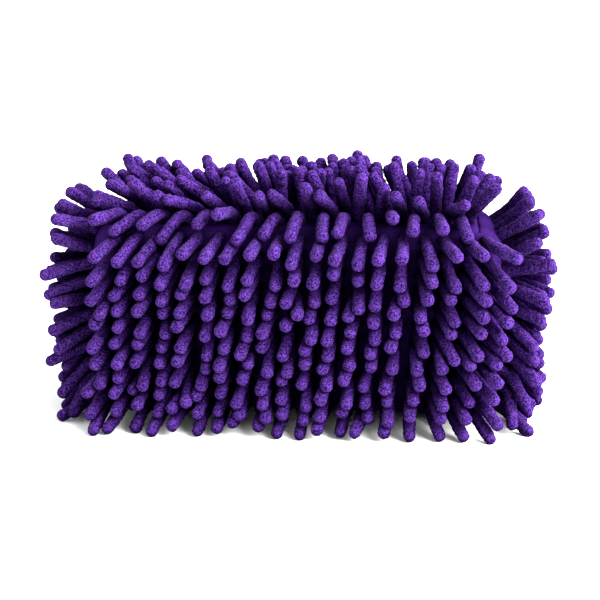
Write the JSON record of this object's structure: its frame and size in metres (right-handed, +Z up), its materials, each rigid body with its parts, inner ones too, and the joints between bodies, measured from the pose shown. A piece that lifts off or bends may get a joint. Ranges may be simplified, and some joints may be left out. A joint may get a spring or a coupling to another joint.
{
  "type": "wash mitt",
  "caption": "Block-shaped chenille wash mitt: foam core, soft noodles on five faces, and a hand pocket with an elastic cuff on the plain back.",
  "frame": {"origin": "on the ground, under the middle of the whole mitt", "axes": "+X along the mitt, -Y out of the large noodle face, +Z up"},
  "size_m": [0.2483, 0.1182, 0.1252],
  "materials": {
    "noodle_chenille": "matte violet chenille pile",
    "cover_cloth": "matte violet knit",
    "plush_cloth": "short violet plush",
    "cuff_cloth": "ribbed dark violet knit",
    "elastic": "woven elastic",
    "thread": "spun polyester thread",
    "foam": "open-cell polyurethane foam",
    "label": "blank woven satin"
  },
  "bodies": {
    "mitt": {"back_panel": "plush_cloth", "back_seam_thread": "thread", "bottom_gusset": "cover_cloth", "bottom_noodles_01": "noodle_chenille", "bottom_noodles_02": "noodle_chenille", "bottom_noodles_03": "noodle_chenille", "bottom_noodles_04": "noodle_chenille", "bottom_noodles_05": "noodle_chenille", "care_label": "label", "corner_seam_threads": "thread", "foam_core": "foam", "front_noodles_01": "noodle_chenille", "front_noodles_02": "noodle_chenille", "front_noodles_03": "noodle_chenille", "front_noodles_04": "noodle_chenille", "front_noodles_05": "noodle_chenille", "front_noodles_06": "noodle_chenille", "front_noodles_07": "noodle_chenille", "front_noodles_08": "noodle_chenille", "front_noodles_09": "noodle_chenille", "front_noodles_10": "noodle_chenille", "front_noodles_11": "noodle_chenille", "front_noodles_12": "noodle_chenille", "front_noodles_13": "noodle_chenille", "front_noodles_14": "noodle_chenille", "front_noodles_15": "noodle_chenille", "front_noodles_16": "noodle_chenille", "front_noodles_17": "noodle_chenille", "front_noodles_18": "noodle_chenille", "front_noodles_19": "noodle_chenille", "front_panel": "cover_cloth", "front_seam_thread": "thread", "left_gusset": "cover_cloth", "left_noodles_01": "noodle_chenille", "left_noodles_02": "noodle_chenille", "left_noodles_03": "noodle_chenille", "left_noodles_04": "noodle_chenille", "left_noodles_05": "noodle_chenille", "left_noodles_06": "noodle_chenille", "pocket_end_stitching": "thread", "right_gusset": "cover_cloth", "right_noodles_01": "noodle_chenille", "right_noodles_02": "noodle_chenille", "right_noodles_03": "noodle_chenille", "right_noodles_04": "noodle_chenille", "right_noodles_05": "noodle_chenille", "right_noodles_06": "noodle_chenille", "top_gusset": "cover_cloth", "top_noodles_01": "noodle_chenille", "top_noodles_02": "noodle_chenille", "top_noodles_03": "noodle_chenille", "top_noodles_04": "noodle_chenille", "top_noodles_05": "noodle_chenille", "top_noodles_06": "noodle_chenille", "top_noodles_07": "noodle_chenille", "top_noodles_08": "noodle_chenille"},
    "pocket": {"pocket_panel": "plush_cloth", "cuff_band": "cuff_cloth", "cuff_elastic": "elastic", "cuff_stitching": "thread"}
  },
  "joints": [
    {"name": "pocket_open", "type": "hinge", "parent": "mitt", "child": "pocket", "pos_m": [0.086, 0.035, 0.0515], "axis": [0, 0, -1], "range_deg": [0, 8], "stiffness_Nm_per_rad": 0.6}
  ]
}
